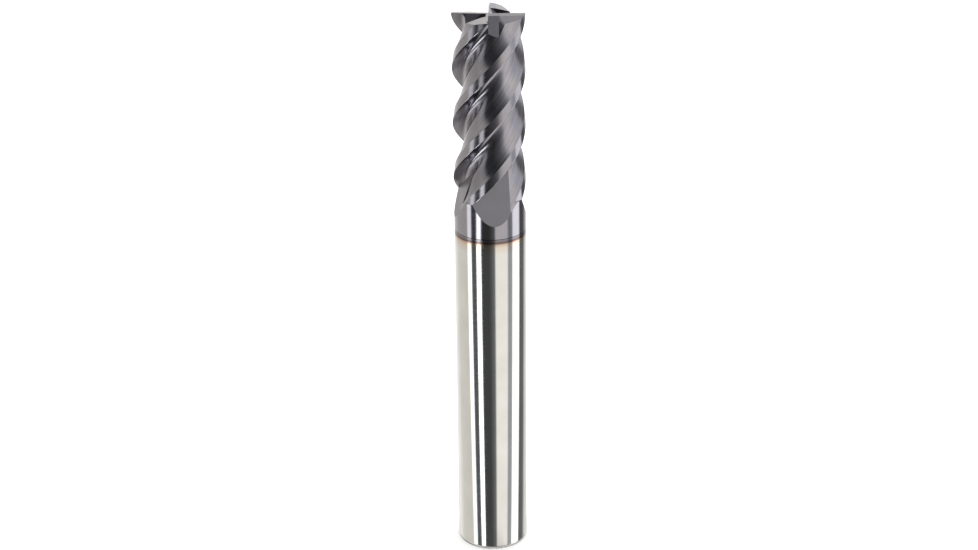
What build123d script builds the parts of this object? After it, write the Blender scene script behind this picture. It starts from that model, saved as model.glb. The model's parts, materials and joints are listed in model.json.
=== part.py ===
"""Four-flute solid carbide end mill, standing on its shank end with the cutting end up.

Millimetres and degrees. The origin is the centre of the shank's end face, and +Z runs towards the cutting end.
The tool is one ground rod of carbide. A hard coating covers its cutting end, and thins out in a narrow ring
on the shank. The tooth directions are +X and -X for the long end teeth, and +Y and -Y for the short ones.
"""

import os
from math import cos, pi, radians, sin, tan

from build123d import *

# Rod
shank_diameter = 7.9375
overall_length = 63.5
shank_end_chamfer = 0.3

# Coating: a skin whose outer face stands proud of the bare shank, and a thin edge where it fades out
coating_thickness = 0.06
coating_rise = 0.003
coating_low = 39.0
coating_edge_height = 1.0
coating_edge_thickness = 0.01

# Flutes: points of the gap's curve, as degrees behind the cutting edge and shares of the radius
tooth_count = 4
helix_angle = 45.0
flute_curve = [(9.5, 1.025), (18, 0.962), (36.8, 0.80), (53.8, 0.703), (83.4, 0.637), (90.0, 1.0), (89.1, 1.04)]

# Lands: a narrow round margin, then a relief that starts above the collar
margin_angle = 0.8
land_relief_angle = 7.25
land_stations = [-2.0, 0.8, 9.4, 18, 22]
land_relief_low = 42.9

# Run-out: each flute ends on a flat that rises to the collar
run_out_low = 40.5
run_out_slope = 18.5
run_out_facing = 9.0
run_out_side = 1.75
run_out_wide_height = 42.7

# Cutting end
end_relief_angle = 6.0
end_relief_width = 0.8
end_clearance_angle = 14.0
end_dish_angle = 1.2

# Gashes ahead of the end teeth, in the order +X, +Y, -X, -Y. The first and third edges are the long ones.
gash_slope = 38.0
gash_edge_starts = [0.1, 0.5, 0.1, 0.5]
gash_floor_widths = [2.0, 1.15, 1.15, 1.15]
gash_openings = [5.0, 42.0, 42.0, 42.0]
gash_back_reach = 2.0
gash_length = 8.0
gash_depth = 7.0

# Worked out from the above
shank_radius = shank_diameter / 2
head_radius = shank_radius + coating_rise
helix_lead = shank_diameter * pi / tan(radians(helix_angle))
tooth_pitch = 360 / tooth_count
coating_edge_low = coating_low - coating_edge_height
end_clearance_width = shank_diameter

# How far the cutting shapes run past the metal
past_end = 1.0
past_round = 1.3 * shank_radius
flute_cut_low = run_out_low - past_end


def polar(angle, radius):
    """A point of the cross-section, at an angle in degrees from +X."""
    return (radius * cos(radians(angle)), radius * sin(radians(angle)))


def turned_plane(angle, height):
    """A horizontal plane at a height, turned about the tool's axis."""
    return Plane(origin=(0, 0, height), x_dir=(*polar(angle, 1), 0), z_dir=(0, 0, 1))


def land_share(angle):
    """The relieved land's share of the radius, this many degrees behind the cutting edge."""
    return 1 - tan(radians(land_relief_angle)) * radians(angle - margin_angle)


def helical_cut(curve, low, inset):
    """What is ground away outside a curve of the cross-section, along the helix from a low end, widened by inset.

    The curve starts with a straight run from its first point to its second.
    """
    points = [polar(-angle, share * head_radius) for angle, share in curve]
    first_angle = -curve[0][0]
    last_angle = -curve[-1][0]
    outer_first = polar(first_angle, past_round)
    outer_middle = polar((first_angle + last_angle) / 2, past_round)
    outer_last = polar(last_angle, past_round)
    edge_turn = -360 * (overall_length - low) / helix_lead
    with BuildSketch(turned_plane(edge_turn, low)) as section:
        with BuildLine():
            Line(points[0], points[1])
            Spline(*points[1:])
            Line(points[-1], outer_last)
            ThreePointArc(outer_last, outer_middle, outer_first)
            Line(outer_first, points[0])
        make_face()
        if inset:
            offset(amount=inset, kind=Kind.INTERSECTION, mode=Mode.REPLACE)
    length = overall_length + past_end - low
    turn = 360 * length / helix_lead
    return Solid.extrude_linear_with_rotation(section.sketch.face(), (0, 0, low), (0, 0, length), turn)


def run_out_filling(inset):
    """The metal that ends one flute: what lies behind its run-out flat, as far as the back of the next tooth."""
    slope = tan(radians(run_out_slope))
    low = flute_cut_low - past_end
    foot = head_radius + (run_out_low - low) * slope
    peak = run_out_low + head_radius / slope
    facing = (*polar(run_out_facing, 1), 0)
    across = Vector(*polar(run_out_facing + 90, run_out_side - inset), 0)
    with BuildPart() as filling:
        with BuildSketch(Plane(origin=across, x_dir=facing, z_dir=-across)):
            with BuildLine():
                Polyline((0, low), (foot, low), (0, peak), close=True)
            make_face()
            if inset:
                offset(amount=-inset, kind=Kind.INTERSECTION, mode=Mode.REPLACE)
        extrude(amount=2 * shank_diameter)
    return filling.part


def run_out_corner_cut(inset):
    """What is ground away in front of a run-out flat, below the height where the flute is as wide as the flat."""
    slope = tan(radians(run_out_slope))
    top_reach = head_radius - (run_out_wide_height - run_out_low) * slope
    low = run_out_low - (past_round - head_radius) / slope
    facing = (*polar(run_out_facing, 1), 0)
    across = Vector(*polar(run_out_facing + 90, run_out_side + inset), 0)
    with BuildPart() as cut:
        with BuildSketch(Plane(origin=across, x_dir=facing, z_dir=-across)):
            with BuildLine():
                Polyline(
                    (top_reach, run_out_wide_height),
                    (past_round, run_out_wide_height),
                    (past_round, low),
                    close=True,
                )
            make_face()
            if inset:
                offset(amount=inset, kind=Kind.INTERSECTION, mode=Mode.REPLACE)
        extrude(amount=run_out_side + inset)
    return cut.part


def flute_cut(inset):
    """One helical flute with its run-out, as the shape of what is ground away."""
    with BuildPart() as cut:
        add(helical_cut(flute_curve, flute_cut_low, inset))
        add(run_out_filling(inset), mode=Mode.SUBTRACT)
        add(run_out_corner_cut(inset))
    return cut.part


def land_cut(inset):
    """The relief behind one cutting edge, as the shape of what is ground away."""
    curve = [(angle, land_share(angle) - inset / head_radius) for angle in land_stations]
    return helical_cut(curve, land_relief_low - inset, 0)


def end_relief_cut(inset):
    """The space above one end tooth, the one whose cutting edge runs along +X."""
    dish = radians(end_dish_angle)
    relief_drop = end_relief_width * tan(radians(end_relief_angle))
    clearance_drop = relief_drop + end_clearance_width * tan(radians(end_clearance_angle))
    centre_height = overall_length - shank_radius * tan(dish)
    start = (-inset * cos(dish), 0, centre_height - inset * sin(dish))
    with BuildPart() as cut:
        with BuildSketch(Plane(origin=start, x_dir=(0, -1, 0), z_dir=(cos(dish), 0, sin(dish)))):
            with BuildLine():
                Polyline(
                    (0, 0),
                    (end_relief_width, relief_drop),
                    (end_relief_width + end_clearance_width, clearance_drop),
                    (end_relief_width + end_clearance_width, -past_end),
                    (0, -past_end),
                    close=True,
                )
            make_face()
            if inset:
                offset(amount=inset, kind=Kind.INTERSECTION, mode=Mode.REPLACE)
        extrude(amount=shank_diameter)
    return cut.part


def gash_cut(edge_start, floor_width, opening, inset):
    """The notch ahead of one end tooth: an upright rake face, a sloping floor and a wall leaning away."""
    slope = radians(gash_slope)
    travel = Vector(cos(slope), 0, -sin(slope))
    start = Vector(edge_start, 0, overall_length) - travel * gash_back_reach
    wall_reach = floor_width + gash_depth * tan(radians(opening))
    with BuildPart() as cut:
        with BuildSketch(Plane(origin=start, x_dir=(0, 1, 0), z_dir=travel)):
            with BuildLine():
                Polyline((0, 0), (0, gash_depth), (wall_reach, gash_depth), (floor_width, 0), close=True)
            make_face()
            if inset:
                offset(amount=inset, kind=Kind.INTERSECTION, mode=Mode.REPLACE)
        extrude(amount=gash_back_reach + gash_length)
    return cut.part


def ground_head(inset):
    """The cutting end and its collar, with every ground surface set back by inset."""
    with BuildPart() as head:
        with BuildSketch(Plane.XY.offset(coating_low)):
            Circle(head_radius - inset)
        extrude(amount=overall_length - coating_low)
        with PolarLocations(0, tooth_count):
            add(flute_cut(inset), mode=Mode.SUBTRACT)
            add(land_cut(inset), mode=Mode.SUBTRACT)
            add(end_relief_cut(inset), mode=Mode.SUBTRACT)
        for tooth in range(tooth_count):
            gash = gash_cut(gash_edge_starts[tooth], gash_floor_widths[tooth], gash_openings[tooth], inset)
            add(gash.rotate(Axis.Z, tooth * tooth_pitch), mode=Mode.SUBTRACT)
    return head.part


os.makedirs("parts", exist_ok=True)

# The ground carbide rod: shank, a neck that tapers under the coating's edge, collar, fluted core and end teeth
with BuildPart() as carbide_body:
    with BuildSketch(Plane.XY):
        Circle(shank_radius)
    extrude(amount=coating_edge_low)
    chamfer(carbide_body.faces().sort_by(Axis.Z)[0].edges(), shank_end_chamfer)
    with BuildSketch(Plane.XY.offset(coating_edge_low)):
        Circle(shank_radius - coating_edge_thickness)
    with BuildSketch(Plane.XY.offset(coating_low)):
        Circle(head_radius - coating_thickness)
    loft()
    add(ground_head(coating_thickness))
carbide_body.part.label = "carbide_body"
export_step(carbide_body.part, "parts/carbide_body.step")

# The hard coating over the cutting end and part of the collar
with BuildPart() as coating:
    add(ground_head(0))
    add(carbide_body.part, mode=Mode.SUBTRACT)
coating.part.label = "coating"
export_step(coating.part, "parts/coating.step")

# The ring in which the coating thins out on the shank
with BuildPart() as coating_edge:
    with BuildSketch(Plane.XZ):
        with BuildLine():
            Polyline(
                (shank_radius - coating_edge_thickness, coating_edge_low),
                (shank_radius, coating_edge_low),
                (head_radius, coating_low),
                (head_radius - coating_thickness, coating_low),
                close=True,
            )
        make_face()
    revolve(axis=Axis.Z)
coating_edge.part.label = "coating_edge"
export_step(coating_edge.part, "parts/coating_edge.step")
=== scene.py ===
"""A coated four-flute end mill standing on its shank, in metres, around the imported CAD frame."""

import json
from math import cos, pi, radians, sin, tan

import bmesh
import bpy
import numpy as np
from mathutils import Matrix, Vector

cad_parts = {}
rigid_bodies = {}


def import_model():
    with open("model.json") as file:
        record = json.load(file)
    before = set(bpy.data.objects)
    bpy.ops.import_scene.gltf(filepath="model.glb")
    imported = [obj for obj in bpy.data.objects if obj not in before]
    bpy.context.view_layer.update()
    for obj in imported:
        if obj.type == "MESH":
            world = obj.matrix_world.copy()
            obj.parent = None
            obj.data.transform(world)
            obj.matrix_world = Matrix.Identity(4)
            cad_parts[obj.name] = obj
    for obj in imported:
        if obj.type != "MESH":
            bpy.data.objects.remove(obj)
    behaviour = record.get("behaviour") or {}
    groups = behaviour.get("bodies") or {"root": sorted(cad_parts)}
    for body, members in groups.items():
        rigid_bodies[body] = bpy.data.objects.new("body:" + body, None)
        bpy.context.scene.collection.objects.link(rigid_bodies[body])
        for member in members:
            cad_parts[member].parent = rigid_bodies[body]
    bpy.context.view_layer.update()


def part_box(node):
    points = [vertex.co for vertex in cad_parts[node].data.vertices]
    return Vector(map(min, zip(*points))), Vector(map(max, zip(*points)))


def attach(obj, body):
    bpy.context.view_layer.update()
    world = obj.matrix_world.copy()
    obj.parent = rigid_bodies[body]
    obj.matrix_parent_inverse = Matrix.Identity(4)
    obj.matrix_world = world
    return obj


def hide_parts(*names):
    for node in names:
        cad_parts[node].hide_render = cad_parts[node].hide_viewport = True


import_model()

MM = 0.001
UP = Vector((0, 0, 1))

# Sizes from the frame
BODY_LOW, BODY_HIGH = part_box("carbide_body")
COATING_LOW, COATING_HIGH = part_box("coating")
EDGE_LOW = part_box("coating_edge")[0]
RADIUS = (BODY_HIGH.x - BODY_LOW.x) / 2
HEAD = (COATING_HIGH.x - COATING_LOW.x) / 2
TOP = COATING_HIGH.z
COAT_Z = COATING_LOW.z
FADE_Z = EDGE_LOW.z

# Flutes and lands, as degrees behind the edge and shares of the radius, as in the CAD
TEETH = 4
LEAD = 2 * pi * RADIUS
FLUTE_CURVE = [
    (9.5, 1.025),
    (18, 0.962),
    (36.8, 0.80),
    (53.8, 0.703),
    (83.4, 0.637),
    (90.0, 1.0),
    (89.1, 1.04),
]
MARGIN_ANGLE = 0.8
LAND_RELIEF = radians(7.25)
LAND_STATIONS = (-2.0, 22)
LAND_Z = 42.9 * MM

# Run-outs
RUN_OUT_Z = 40.5 * MM
RUN_OUT_SLOPE = tan(radians(18.5))
RUN_OUT_FACING = 9.0
RUN_OUT_SIDE = 1.75 * MM
RUN_OUT_WIDE_Z = 42.7 * MM

# Cutting end
RELIEF_ANGLE = radians(6)
RELIEF_WIDTH = 0.8 * MM
CLEARANCE_ANGLE = radians(14)
DISH_ANGLE = radians(1.2)
GASH_SLOPE = radians(38)
GASH_DEPTH = 7 * MM
GASH_BACK = 2 * MM
GASH_LENGTH = 8 * MM

# Gashes ahead of the teeth at +X, +Y, -X and -Y: where the edge starts, the floor's width and the far wall's
# lean, in millimetres and degrees
GASHES = [(0.1, 2.0, 5), (0.5, 1.15, 42), (0.1, 1.15, 42), (0.5, 1.15, 42)]

# Shank: the edge break at its foot, and how far from its upper corner the rounded part of it reaches
SHANK_CHAMFER = 0.3 * MM
ROUNDING_ACROSS = 0.04 * MM
ROUNDING_UP = 0.05 * MM

# Coating
SKIN = 0.06 * MM
FADE_SKIN = 0.01 * MM

# How far the cutting shapes run past the metal, and what keeps two of them off each other's edges
PAST_ROUND = 1.3
PAST_END = 1.0 * MM
CLEAR = 0.0005 * MM

# How finely the round shapes are divided
ROUND_STEPS = 360
ROUND_ANGLES = [2 * pi * i / ROUND_STEPS for i in range(ROUND_STEPS)]
HELIX_LEVELS = 200
FIRST_RUN_POINTS = 5
FLUTE_CURVE_POINTS = 60
FLUTE_ARC_POINTS = 9
LAND_CURVE_POINTS = 13
LAND_ARC_POINTS = 5

# Edges where the surface turns by more than this stay sharp
SHARP_ANGLE = radians(24)


# ---------------------------------------------------------------- mesh helpers


def polar(angle, radius):
    """A point of the cross-section, at an angle in degrees from +X."""
    return np.array([radius * cos(radians(angle)), radius * sin(radians(angle))])


def level_direction(angle):
    """The direction square to the axis, at an angle in degrees from +X."""
    return Vector((*polar(angle, 1), 0))


def turned(points, angle):
    """Points of the cross-section turned about the axis, the angle in radians."""
    return points @ np.array([[cos(angle), sin(angle)], [-sin(angle), cos(angle)]])


def smooth_curve(points, count):
    """This many points of a natural cubic spline through the given ones, at equal steps of chord length."""
    points = np.array(points)
    chord = np.linalg.norm(np.diff(points, axis=0), axis=1)
    knots = np.concatenate([[0], np.cumsum(chord)])
    last = len(points) - 1
    system, right = np.eye(last + 1), np.zeros((last + 1, 2))
    for i in range(1, last):
        before, after = chord[i - 1], chord[i]
        system[i, i - 1 : i + 2] = before, 2 * (before + after), after
        right[i] = 6 * ((points[i + 1] - points[i]) / after - (points[i] - points[i - 1]) / before)
    bend = np.linalg.solve(system, right)
    curve = []
    for reach in np.linspace(0, knots[-1], count):
        i = min(int(np.searchsorted(knots, reach, side="right")) - 1, last - 1)
        span, to_next, from_last = chord[i], knots[i + 1] - reach, reach - knots[i]
        cubic = (bend[i] * to_next**3 + bend[i + 1] * from_last**3) / (6 * span)
        start = (points[i] / span - bend[i] * span / 6) * to_next
        end = (points[i + 1] / span - bend[i + 1] * span / 6) * from_last
        curve.append(cubic + (start + end))
    return np.array(curve)


def new_object(name, mesh):
    piece = bpy.data.objects.new(name, mesh)
    bpy.context.scene.collection.objects.link(piece)
    return piece


def mesh_from(name, vertices, faces):
    mesh = bpy.data.meshes.new(name)
    mesh.from_pydata([tuple(v) for v in vertices], [], faces)
    mesh.update()
    return mesh


def stacked_rings(name, rings):
    """A closed solid through rings of points, each ring the same length, from low to high."""
    size = len(rings[0])
    vertices = [point for ring in rings for point in ring]
    faces = [tuple(reversed(range(size)))]
    for level in range(len(rings) - 1):
        low, high = level * size, (level + 1) * size
        for i in range(size):
            j = (i + 1) % size
            faces.append((low + i, low + j, high + j, high + i))
    faces.append(tuple(range((len(rings) - 1) * size, len(rings) * size)))
    return mesh_from(name, vertices, faces)


def swept_outline(name, outline, origin, across, up, along, length):
    """A prism of an outline, whose points are (across, up), pushed along a direction."""
    ends = []
    for distance in (0, length):
        base = origin + along * distance
        ends.append([tuple(base + across * a + up * b) for a, b in outline])
    mesh = stacked_rings(name, ends)
    work = bmesh.new()
    work.from_mesh(mesh)
    bmesh.ops.recalc_face_normals(work, faces=work.faces)
    work.to_mesh(mesh)
    work.free()
    return mesh


def lathe(name, profile):
    """A closed solid of revolution. The profile is (radius, height) points off the axis, low to high."""
    return stacked_rings(name, [[(r * cos(a), r * sin(a), z) for a in ROUND_ANGLES] for r, z in profile])


def carved(name, solid, cutters):
    """The solid less the cutters, as a new mesh. Each face keeps the material it came with."""
    work = new_object(name + "_work", solid)
    group = bpy.data.collections.new(name + "_cutters")
    for cutter in cutters:
        group.objects.link(bpy.data.objects.new(name + "_cutter", cutter))
    bpy.context.scene.collection.children.link(group)
    step = work.modifiers.new("cut", "BOOLEAN")
    step.operation = "DIFFERENCE"
    step.operand_type = "COLLECTION"
    step.solver = "EXACT"
    step.material_mode = "TRANSFER"
    step.collection = group
    depsgraph = bpy.context.evaluated_depsgraph_get()
    result = bpy.data.meshes.new_from_object(work.evaluated_get(depsgraph))
    for item in [work, *group.objects]:
        bpy.data.objects.remove(item)
    bpy.data.collections.remove(group)
    return result


def moved(mesh, matrix):
    copy = mesh.copy()
    copy.transform(matrix)
    return copy


def painted(mesh, material):
    mesh.materials.clear()
    mesh.materials.append(material)
    return mesh


def smoothed(mesh):
    mesh.polygons.foreach_set("use_smooth", [True] * len(mesh.polygons))
    mesh.set_sharp_from_angle(angle=SHARP_ANGLE)
    return mesh


def sharpened_between_materials(mesh):
    """Marks the edges between differently ground surfaces as sharp."""
    grounds = {}
    for face in mesh.polygons:
        for key in face.edge_keys:
            grounds.setdefault(key, set()).add(face.material_index)
    for edge in mesh.edges:
        if len(grounds[edge.key]) > 1:
            edge.use_edge_sharp = True
    return mesh


# ---------------------------------------------------------------- cutting shapes


def arc_outside(first, last, count):
    """Points of an arc clear of the metal, between two angles behind the cutting edge."""
    return [polar(-angle, PAST_ROUND * HEAD) for angle in np.linspace(first, last, count)]


def flute_outline():
    """The closed outline of one flute in the cross-section, for the edge at 0 degrees."""
    knots = [polar(-angle, share * HEAD) for angle, share in FLUTE_CURVE]
    shares = np.linspace(0, 1, FIRST_RUN_POINTS)[:-1]
    first_run = [knots[0] + (knots[1] - knots[0]) * share for share in shares]
    curve = smooth_curve(knots[1:], FLUTE_CURVE_POINTS)
    outside = arc_outside(FLUTE_CURVE[-1][0], FLUTE_CURVE[0][0], FLUTE_ARC_POINTS)
    return np.array([*first_run, *curve, *outside])


def land_outline():
    """The closed outline of what one land's relief takes off, for the edge at 0 degrees."""
    first, last = LAND_STATIONS
    angles = np.linspace(first, last, LAND_CURVE_POINTS)
    slope = tan(LAND_RELIEF)
    land = [polar(-angle, HEAD * (1 - slope * radians(angle - MARGIN_ANGLE))) for angle in angles]
    return np.array([*land, *arc_outside(last, first, LAND_ARC_POINTS)])


def helical_prism(outline, low, high):
    """An outline of the cross-section pushed up the helix, as it lies at the tool's end."""
    rings = []
    for z in np.linspace(low, high, HELIX_LEVELS):
        ring = turned(outline, 2 * pi * (z - TOP) / LEAD)
        rings.append([(x, y, z) for x, y in ring])
    return stacked_rings("helix", rings)


def swept_from_run_out_side(name, outline, length):
    """A prism of an upright outline, pushed back across a run-out flat from the flat's far side."""
    facing = level_direction(RUN_OUT_FACING)
    across = level_direction(RUN_OUT_FACING + 90)
    return swept_outline(name, outline, across * RUN_OUT_SIDE, facing, UP, -across, length)


def run_out_filling():
    """The metal behind one flute's run-out flat, as far as the back of the next tooth."""
    low = RUN_OUT_Z - 2 * PAST_END
    foot = HEAD + (RUN_OUT_Z - low) * RUN_OUT_SLOPE
    peak = RUN_OUT_Z + HEAD / RUN_OUT_SLOPE
    return swept_from_run_out_side("filling", [(0, low), (foot, low), (0, peak)], 4 * RADIUS)


def run_out_corner_cut():
    """What is ground away in front of a run-out flat, below where the flute is as wide as the flat."""
    top_reach = HEAD - (RUN_OUT_WIDE_Z - RUN_OUT_Z) * RUN_OUT_SLOPE + CLEAR
    far = PAST_ROUND * HEAD
    low = RUN_OUT_Z - (far - HEAD - CLEAR) / RUN_OUT_SLOPE
    outline = [(top_reach, RUN_OUT_WIDE_Z), (far, RUN_OUT_WIDE_Z), (far, low)]
    return swept_from_run_out_side("corner", outline, RUN_OUT_SIDE)


def end_relief_cut():
    """The space above the end tooth whose cutting edge runs along +X."""
    width = 2 * RADIUS
    drop = RELIEF_WIDTH * tan(RELIEF_ANGLE)
    far = RELIEF_WIDTH + width
    outline = [
        (0, 0),
        (RELIEF_WIDTH, -drop),
        (far, -drop - width * tan(CLEARANCE_ANGLE)),
        (far, PAST_END),
        (0, PAST_END),
    ]
    along = Vector((cos(DISH_ANGLE), 0, sin(DISH_ANGLE)))
    up = Vector((-sin(DISH_ANGLE), 0, cos(DISH_ANGLE)))
    origin = Vector((0, 0, TOP - RADIUS * tan(DISH_ANGLE)))
    return swept_outline("end_relief", outline, origin, Vector((0, -1, 0)), up, along, width)


def gash_cut(edge_start, floor_width, opening):
    """The notch ahead of the end tooth along +X: an upright rake face, a sloping floor, a leaning wall."""
    along = Vector((cos(GASH_SLOPE), 0, -sin(GASH_SLOPE)))
    up = Vector((sin(GASH_SLOPE), 0, cos(GASH_SLOPE)))
    floor = floor_width * MM
    reach = floor + GASH_DEPTH * tan(radians(opening))
    outline = [(0, 0), (0, GASH_DEPTH), (reach, GASH_DEPTH), (floor, 0)]
    origin = Vector((edge_start * MM, 0, TOP)) - along * GASH_BACK
    length = GASH_BACK + GASH_LENGTH
    return swept_outline("gash", outline, origin, Vector((0, 1, 0)), up, along, length)


# ---------------------------------------------------------------- materials


class Nodes:
    """A short way to add and link shader nodes."""

    def __init__(self, tree):
        self.tree = tree
        tree.nodes.clear()

    def add(self, kind, inputs=None, **settings):
        node = self.tree.nodes.new("ShaderNode" + kind)
        for key, value in settings.items():
            setattr(node, key, value)
        for key, value in (inputs or {}).items():
            self.put(node, key, value)
        return node

    def put(self, node, key, value):
        if isinstance(value, bpy.types.NodeSocket):
            self.tree.links.new(value, node.inputs[key])
        else:
            node.inputs[key].default_value = value

    def math(self, operation, a, b=0.0, c=0.0):
        return self.add("Math", {0: a, 1: b, 2: c}, operation=operation).outputs[0]

    def mixed(self, share, first, second):
        return self.add("Mix", {"Factor": share, "A": first, "B": second}).outputs[0]

    def ramp(self, factor, stops):
        node = self.add("ValToRGB", {"Fac": factor})
        elements = node.color_ramp.elements
        for position, _ in stops[2:]:
            elements.new(position)
        for element, (position, colour) in zip(elements, stops):
            element.position = position
            element.color = (*colour, 1)
        return node.outputs[0]

    def noise(self, vector, scale, detail=2.0, roughness=0.5):
        inputs = {"Vector": vector, "Scale": scale, "Detail": detail, "Roughness": roughness}
        return self.add("TexNoise", inputs).outputs["Fac"]

    def share_between(self, value, start, end):
        """How far a value has come from start to end, held to 0 to 1."""
        return self.add("MapRange", {"Value": value, "From Min": start, "From Max": end}).outputs[0]

    def spread(self, value, low, high):
        """Maps a noise value, which stays near a half, onto low to high."""
        inputs = {"Value": value, "From Min": 0.3, "From Max": 0.7, "To Min": low, "To Max": high}
        return self.add("MapRange", inputs).outputs[0]

    def scaled(self, vector, x, y, z):
        return self.add("Mapping", {"Vector": vector, "Scale": (x, y, z)}).outputs[0]

    def height_of(self, vector):
        return self.add("SeparateXYZ", {0: vector}).outputs[2]


def new_material(name):
    material = bpy.data.materials.new(name)
    material.use_nodes = True
    return material, Nodes(material.node_tree)


def metal_output(nodes, colour, roughness, lines, line_depth):
    """Metal whose grind lines are bumps of a depth in metres."""
    bump = nodes.add("Bump", {"Height": lines, "Distance": line_depth, "Strength": 1.0})
    inputs = {"Base Color": colour, "Roughness": roughness, "Metallic": 1.0, "Normal": bump.outputs[0]}
    shader = nodes.add("BsdfPrincipled", inputs)
    nodes.add("OutputMaterial", {"Surface": shader.outputs[0]})


def place(nodes):
    return nodes.add("TexCoord").outputs["Object"]


def untwisted(nodes, where):
    """The point turned back about the axis by its helix angle, so that helical lines become straight."""
    angle = nodes.math("MULTIPLY", nodes.height_of(where), -2 * pi / LEAD)
    inputs = {"Vector": where, "Angle": angle}
    return nodes.add("VectorRotate", inputs, rotation_type="Z_AXIS").outputs[0]


def grind_lines(nodes, where, across, along, detail=3.0):
    """Noise that changes this many times a metre across the axis and along it."""
    return nodes.noise(nodes.scaled(where, across, across, along), 1.0, detail, 0.6)


def ring_lines(nodes, where):
    """Grind lines round the axis."""
    return grind_lines(nodes, where, 60, 9000)


def helix_lines(nodes, where):
    """Grind lines along the helix."""
    return grind_lines(nodes, untwisted(nodes, where), 7000, 120)


def end_lines(nodes, where):
    """The shorter grind lines of the end teeth and gashes."""
    return grind_lines(nodes, untwisted(nodes, where), 5000, 400, 4.0)


STRAW = (0.66, 0.59, 0.51)
STRAW_REACH = 0.9 * MM
RING_DEPTH = 0.0006 * MM


def shank_material():
    """Bright ground carbide, with a straw tint just below the coating's edge."""
    material, nodes = new_material("ground_carbide")
    where = place(nodes)
    rings = ring_lines(nodes, where)
    cloud = nodes.noise(where, 260.0, 3.0)
    bare = nodes.ramp(cloud, [(0.3, (0.65, 0.65, 0.62)), (0.7, (0.73, 0.73, 0.71))])
    warmth = nodes.share_between(nodes.height_of(where), FADE_Z - STRAW_REACH, FADE_Z)
    colour = nodes.add("MixRGB", {"Fac": warmth, "Color1": bare, "Color2": (*STRAW, 1)}).outputs[0]
    metal_output(nodes, colour, nodes.spread(rings, 0.06, 0.13), rings, RING_DEPTH)
    return material


# The coating's thin edge from its foot up: a straw fade, a brown line, a grey band and a dark line
FADE_STOPS = [
    (0.00, STRAW),
    (0.25, (0.60, 0.50, 0.41)),
    (0.40, (0.48, 0.35, 0.27)),
    (0.50, (0.22, 0.14, 0.13)),
    (0.60, (0.11, 0.08, 0.09)),
    (0.70, (0.19, 0.175, 0.185)),
    (0.91, (0.24, 0.225, 0.24)),
    (0.96, (0.09, 0.08, 0.09)),
]
FADE_WAVER = 0.04 * MM


def fade_material():
    """The colours of the coating's thin edge, by height, with a slight waver."""
    material, nodes = new_material("coating_fade")
    where = place(nodes)
    height = nodes.height_of(where)
    waver = nodes.math("MULTIPLY", nodes.noise(where, 500.0), FADE_WAVER)
    share = nodes.share_between(nodes.math("ADD", height, waver), FADE_Z, COAT_Z)
    colour = nodes.ramp(share, FADE_STOPS)
    rings = ring_lines(nodes, where)
    metal_output(nodes, colour, nodes.spread(rings, 0.10, 0.2), rings, RING_DEPTH)
    return material


def coated(name, dark, pale, roughness_range, surface_lines, line_depth):
    """The coating over a ground surface. Its tone follows lines and cloud from one colour to another."""
    material, nodes = new_material(name)
    where = place(nodes)
    lines = surface_lines(nodes, where)
    cloud = nodes.noise(where, 450.0, 4.0)
    tone = nodes.math("MULTIPLY_ADD", cloud, 0.4, nodes.math("MULTIPLY", lines, 0.6))
    colour = nodes.ramp(tone, [(0.35, dark), (0.65, pale)])
    metal_output(nodes, colour, nodes.spread(lines, *roughness_range), lines, line_depth)
    return material


# ---------------------------------------------------------------- the object


def collar_material():
    return coated(
        "coated_round", (0.315, 0.305, 0.335), (0.345, 0.335, 0.365), (0.08, 0.15), ring_lines, RING_DEPTH
    )


def land_material():
    return coated(
        "coated_land", (0.29, 0.28, 0.305), (0.36, 0.35, 0.38), (0.10, 0.20), helix_lines, 0.001 * MM
    )


def flute_material():
    return coated(
        "coated_flute", (0.25, 0.24, 0.265), (0.39, 0.38, 0.415), (0.11, 0.26), helix_lines, 0.0035 * MM
    )


def flat_material():
    return coated(
        "coated_flat", (0.25, 0.245, 0.27), (0.285, 0.28, 0.305), (0.35, 0.5), helix_lines, 0.002 * MM
    )


def end_material():
    return coated(
        "coated_end", (0.24, 0.235, 0.26), (0.29, 0.285, 0.31), (0.12, 0.20), end_lines, 0.0015 * MM
    )


def head_mesh():
    """The coated cutting end and collar, with its flat-ground faces shaded flat."""
    flat_finish, end_finish = flat_material(), end_material()
    rod = painted(lathe("head", [(HEAD, COAT_Z), (HEAD, TOP)]), collar_material())
    high = TOP + PAST_END
    helix = painted(helical_prism(flute_outline(), RUN_OUT_Z - PAST_END, high), flute_material())
    flute = carved("flute", helix, [painted(run_out_filling(), flat_finish)])
    land = painted(helical_prism(land_outline(), LAND_Z, high), land_material())
    relief = painted(end_relief_cut(), end_finish)
    corner = painted(run_out_corner_cut(), flat_finish)
    cutters = []
    for tooth, gash_sizes in enumerate(GASHES):
        turn = Matrix.Rotation(radians(tooth * 360 / TEETH), 4, "Z")
        gash = painted(gash_cut(*gash_sizes), end_finish)
        cutters += [moved(shape, turn) for shape in (flute, corner, land, relief, gash)]
    mesh = sharpened_between_materials(smoothed(carved("head", rod, cutters)))
    level = [material in (flat_finish, end_finish) for material in mesh.materials]
    for face in mesh.polygons:
        face.use_smooth = not level[face.material_index]
    return mesh


def shank_mesh():
    """The bare shank with its edge break, and the neck under the coating's edge."""
    profile = [
        (RADIUS - SHANK_CHAMFER, 0),
        (RADIUS - ROUNDING_ACROSS, SHANK_CHAMFER - ROUNDING_UP),
        (RADIUS, SHANK_CHAMFER + ROUNDING_UP),
        (RADIUS, FADE_Z),
        (RADIUS - FADE_SKIN, FADE_Z),
        (HEAD - SKIN, COAT_Z),
    ]
    return smoothed(painted(lathe("shank", profile), shank_material()))


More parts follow.
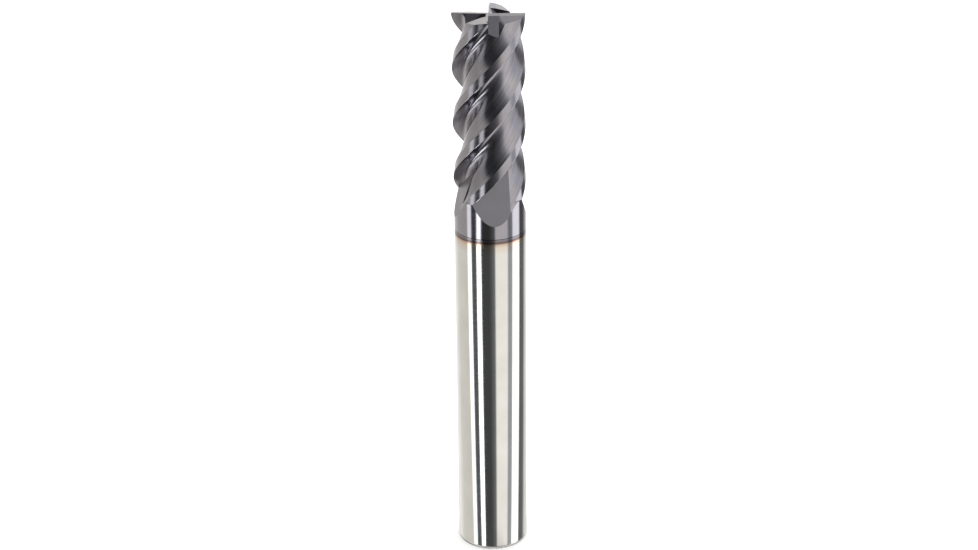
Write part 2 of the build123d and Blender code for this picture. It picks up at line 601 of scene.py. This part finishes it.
def band_mesh():
    """The ring in which the coating thins out on the shank."""
    corners = [(RADIUS, FADE_Z), (HEAD, COAT_Z), (HEAD - SKIN, COAT_Z), (RADIUS - FADE_SKIN, FADE_Z)]
    vertices = [(r * cos(a), r * sin(a), z) for a in ROUND_ANGLES for r, z in corners]
    faces = []
    for i in range(ROUND_STEPS):
        here, there = 4 * i, 4 * ((i + 1) % ROUND_STEPS)
        for corner in range(4):
            following = (corner + 1) % 4
            faces.append((here + corner, there + corner, there + following, here + following))
    return smoothed(painted(mesh_from("coating_band", vertices, faces), fade_material()))


head = new_object("coated_head", head_mesh())
shank = new_object("shank", shank_mesh())
band = new_object("coating_band", band_mesh())

for piece, node, slot in (
    (head, "coating", "hard_coating"),
    (shank, "carbide_body", "ground_carbide"),
    (band, "coating_edge", "coating_fade"),
):
    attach(piece, "root")
    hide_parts(node)


# ---------------------------------------------------------------- floor, light and camera

FLOOR_REACH = 3.0
FLOOR_COLOUR = (0.93, 0.93, 0.925)
BACKDROP_COLOUR = (0.95, 0.95, 0.95)

TOP_LIGHT_SIZE = 1.2
TOP_LIGHT_WATTS = 12
TOP_LIGHT_PLACE = (0, 0.1, 0.9)

# The camera: angles in radians, places in metres, lens and sensor in millimetres
CAMERA_TURN = radians(0.78)
CAMERA_DISTANCE = 55.089 * RADIUS
CAMERA_HEIGHT = 32.451 * RADIUS
CAMERA_SIDE = -0.0474 * RADIUS
CAMERA_PITCH = 0.4126
CAMERA_ROLL = 0.01
CAMERA_LENS = 78.48
CAMERA_SENSOR = 36
CAMERA_NEAR = 0.005

# How bright the studio is at compass turns in degrees from the camera, positive to the right: below the
# level, above it, and steeply below it
LOW_BANDS = [
    (-180, 1.05),
    (-150, 1.05),
    (-125, 0.82),
    (-80, 0.78),
    (-76, 2.1),
    (-65, 2.1),
    (-62, 0.12),
    (-46, 0.12),
    (-43, 3.5),
    (-32, 3.5),
    (-29, 0.07),
    (-4, 0.07),
    (5, 0.13),
    (14, 0.22),
    (18, 1.15),
    (57, 1.15),
    (61, 0.42),
    (75, 0.45),
    (79, 2.1),
    (105, 2.1),
    (110, 0.14),
    (132, 0.18),
    (145, 0.75),
    (180, 1.05),
]
HIGH_BANDS = [
    (-180, 1.3),
    (-150, 0.85),
    (-120, 0.68),
    (-90, 0.62),
    (-78, 0.75),
    (-62, 0.60),
    (-52, 0.07),
    (-22, 0.05),
    (6, 0.18),
    (20, 0.45),
    (30, 1.1),
    (50, 1.3),
    (80, 0.95),
    (96, 0.9),
    (106, 0.25),
    (124, 0.30),
    (134, 0.9),
    (180, 1.3),
]
UNDER_BANDS = [
    (-180, 0.66),
    (-150, 0.55),
    (-110, 0.42),
    (-85, 0.25),
    (-60, 0.12),
    (120, 0.11),
    (140, 0.2),
    (160, 0.45),
    (180, 0.66),
]
BRIGHTEST = 4.0

# Heights, in degrees above the level, between which one set of bands gives way to another, or to the
# light overhead
LOW_TO_HIGH = (-14.0, -2.0)
HIGH_TO_OVERHEAD = (45.0, 65.0)
LOW_TO_UNDER = (-50.0, -58.0)
OVERHEAD_LEVEL = 0.46

# Degrees of compass turn by which the high bands lean for each degree of height
HIGH_LEAN = 0.65

# The light's tint by shares of the whole turn, where a half is towards the camera
TINTS = [
    (0.10, (1.0, 0.975, 0.93)),
    (0.27, (1.0, 0.97, 0.90)),
    (0.30, (1.0, 0.98, 0.96)),
    (0.33, (0.93, 0.98, 1.06)),
    (0.38, (1.0, 1.0, 1.0)),
    (0.44, (0.95, 0.98, 1.03)),
    (0.53, (0.98, 0.99, 1.0)),
    (0.56, (1.0, 0.965, 0.92)),
    (0.66, (1.0, 0.975, 0.93)),
    (0.68, (0.94, 0.98, 1.06)),
    (0.72, (1.0, 1.0, 1.0)),
]


def add_floor():
    """A pale floor that the tool stands on but does not reflect."""
    reach = FLOOR_REACH
    corners = [(-reach, -reach, 0), (reach, -reach, 0), (reach, reach, 0), (-reach, reach, 0)]
    floor = new_object("floor", mesh_from("floor", corners, [(0, 1, 2, 3)]))
    material, nodes = new_material("pale_floor")
    shader = nodes.add("BsdfDiffuse", {"Color": (*FLOOR_COLOUR, 1)})
    nodes.add("OutputMaterial", {"Surface": shader.outputs[0]})
    painted(floor.data, material)
    floor.visible_glossy = False


def turn_share(nodes, turn):
    """A compass turn in degrees as a share of the whole turn, where a half is towards the camera."""
    return nodes.math("MULTIPLY_ADD", turn, 1 / 360, 0.5)


def by_compass(nodes, turn, bands):
    """How bright the studio is at a compass turn in degrees."""
    share = nodes.math("FRACT", turn_share(nodes, turn))
    stops = [((angle + 180) / 360, (level / BRIGHTEST,) * 3) for angle, level in bands]
    return nodes.math("MULTIPLY", nodes.ramp(share, stops), BRIGHTEST)


def studio_world():
    """Strip lights, dark flags and a large soft light round the tool, by compass direction and height."""
    world = bpy.data.worlds.new("studio")
    world.use_nodes = True
    bpy.context.scene.world = world
    nodes = Nodes(world.node_tree)
    direction = nodes.add("TexCoord").outputs["Generated"]
    east, north, up = nodes.add("SeparateXYZ", {0: direction}).outputs
    height = nodes.math("DEGREES", nodes.math("ARCSINE", up))
    compass = nodes.math("DEGREES", nodes.math("ARCTAN2", east, nodes.math("MULTIPLY", north, -1.0)))
    lean = nodes.math("MULTIPLY_ADD", nodes.math("MAXIMUM", height, 0.0), HIGH_LEAN, compass)
    low = by_compass(nodes, compass, LOW_BANDS)
    high = by_compass(nodes, lean, HIGH_BANDS)
    under = by_compass(nodes, compass, UNDER_BANDS)
    ring = nodes.mixed(nodes.share_between(height, *LOW_TO_HIGH), low, high)
    dome = nodes.mixed(nodes.share_between(height, *HIGH_TO_OVERHEAD), ring, OVERHEAD_LEVEL)
    level = nodes.mixed(nodes.share_between(height, *LOW_TO_UNDER), dome, under)
    tint = nodes.ramp(turn_share(nodes, compass), TINTS)
    seen = nodes.add("LightPath").outputs["Is Camera Ray"]
    studio = nodes.add("Background", {"Color": tint, "Strength": level})
    plain = nodes.add("Background", {"Color": (*BACKDROP_COLOUR, 1), "Strength": 1.0})
    shown = nodes.add("MixShader", {0: seen, 1: studio.outputs[0], 2: plain.outputs[0]})
    nodes.add("OutputWorld", {"Surface": shown.outputs[0]})


def add_top_light():
    light = bpy.data.lights.new("overhead", "AREA")
    light.shape = "DISK"
    light.size = TOP_LIGHT_SIZE
    light.energy = TOP_LIGHT_WATTS
    lamp = bpy.data.objects.new("overhead", light)
    lamp.location = TOP_LIGHT_PLACE
    lamp.visible_glossy = False
    bpy.context.scene.collection.objects.link(lamp)


def add_camera():
    camera = bpy.data.cameras.new("camera")
    camera.sensor_width = CAMERA_SENSOR
    camera.lens = CAMERA_LENS
    camera.clip_start = CAMERA_NEAR
    view = bpy.data.objects.new("camera", camera)
    right = Vector((1, 0, 0))
    up = Vector((0, sin(CAMERA_PITCH), cos(CAMERA_PITCH)))
    back = right.cross(up)
    level, tilt = cos(CAMERA_ROLL), sin(CAMERA_ROLL)
    axes = Matrix((right * level - up * tilt, right * tilt + up * level, back)).transposed().to_4x4()
    axes.translation = (CAMERA_SIDE, -CAMERA_DISTANCE, CAMERA_HEIGHT)
    view.matrix_world = Matrix.Rotation(CAMERA_TURN, 4, "Z") @ axes
    bpy.context.scene.collection.objects.link(view)
    bpy.context.scene.camera = view


add_floor()
studio_world()
add_top_light()
add_camera()
bpy.context.scene.view_settings.view_transform = "Standard"
